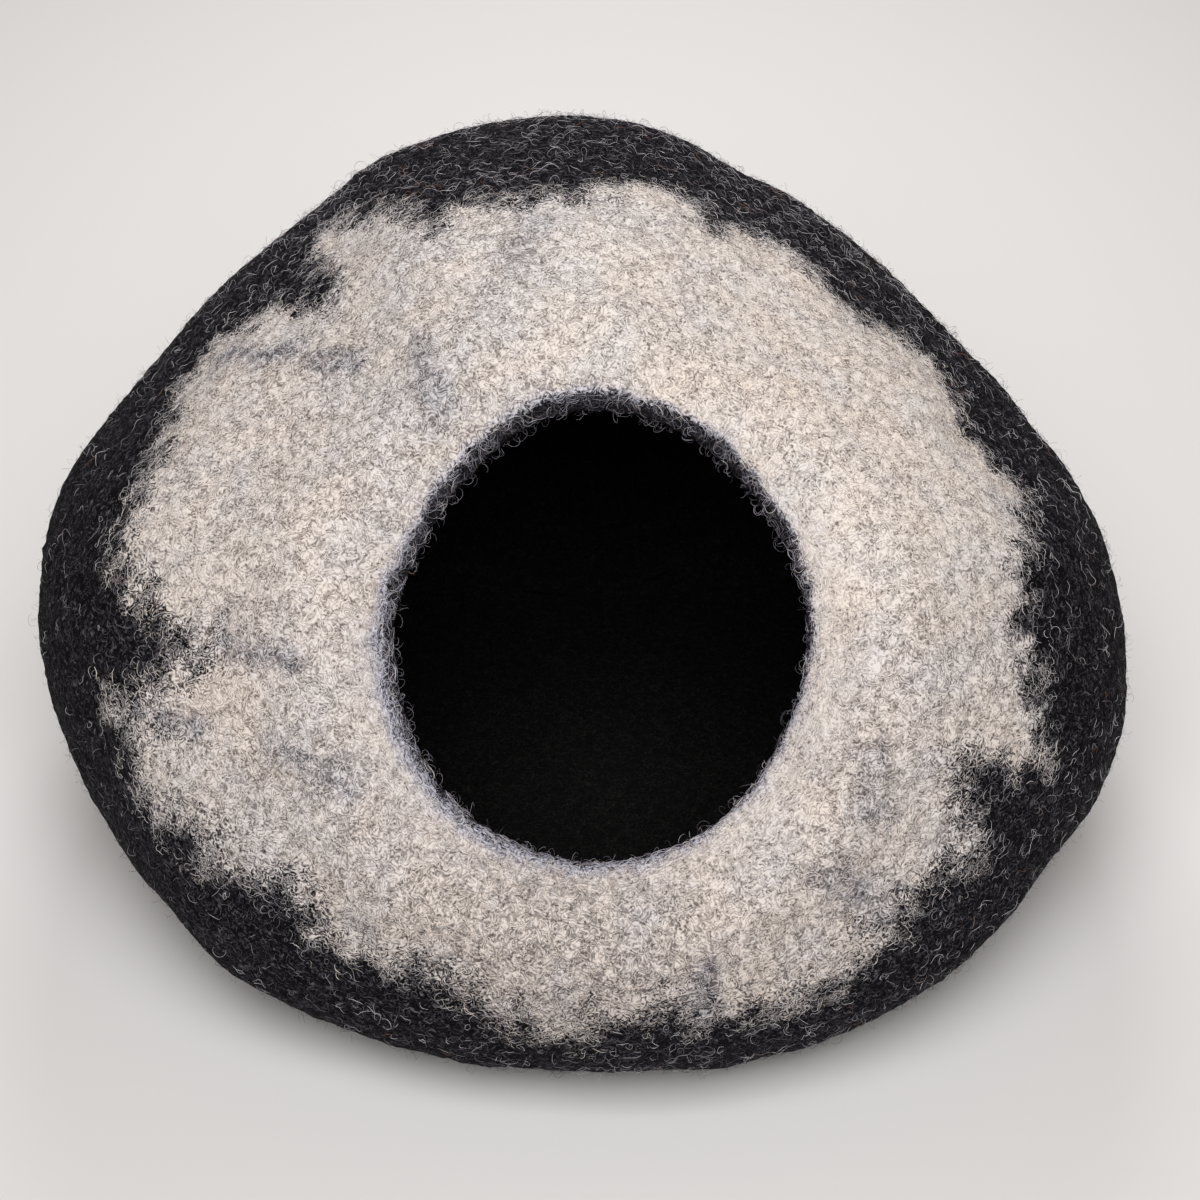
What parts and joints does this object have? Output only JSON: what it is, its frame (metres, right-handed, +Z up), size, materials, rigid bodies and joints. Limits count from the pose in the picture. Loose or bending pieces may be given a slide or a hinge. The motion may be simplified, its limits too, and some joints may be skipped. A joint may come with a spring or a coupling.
{
  "type": "felt cat cave",
  "caption": "Hollow flattened dome of thick wool felt, made in one piece, with a round mouth in its sloping front and a flat base.",
  "frame": {"origin": "on the floor, under the middle of the cave's box", "axes": "+Z up, the mouth faces -Y and looks up at 36 degrees, +X to the right of someone who looks into the mouth"},
  "size_m": [0.501, 0.4736, 0.3266],
  "materials": {
    "wool_felt": "matte, fuzzy wet-felted wool, charcoal with a cream and grey patch round the mouth"
  },
  "bodies": {
    "root": {"felt_shell": "wool_felt"}
  },
  "joints": []
}
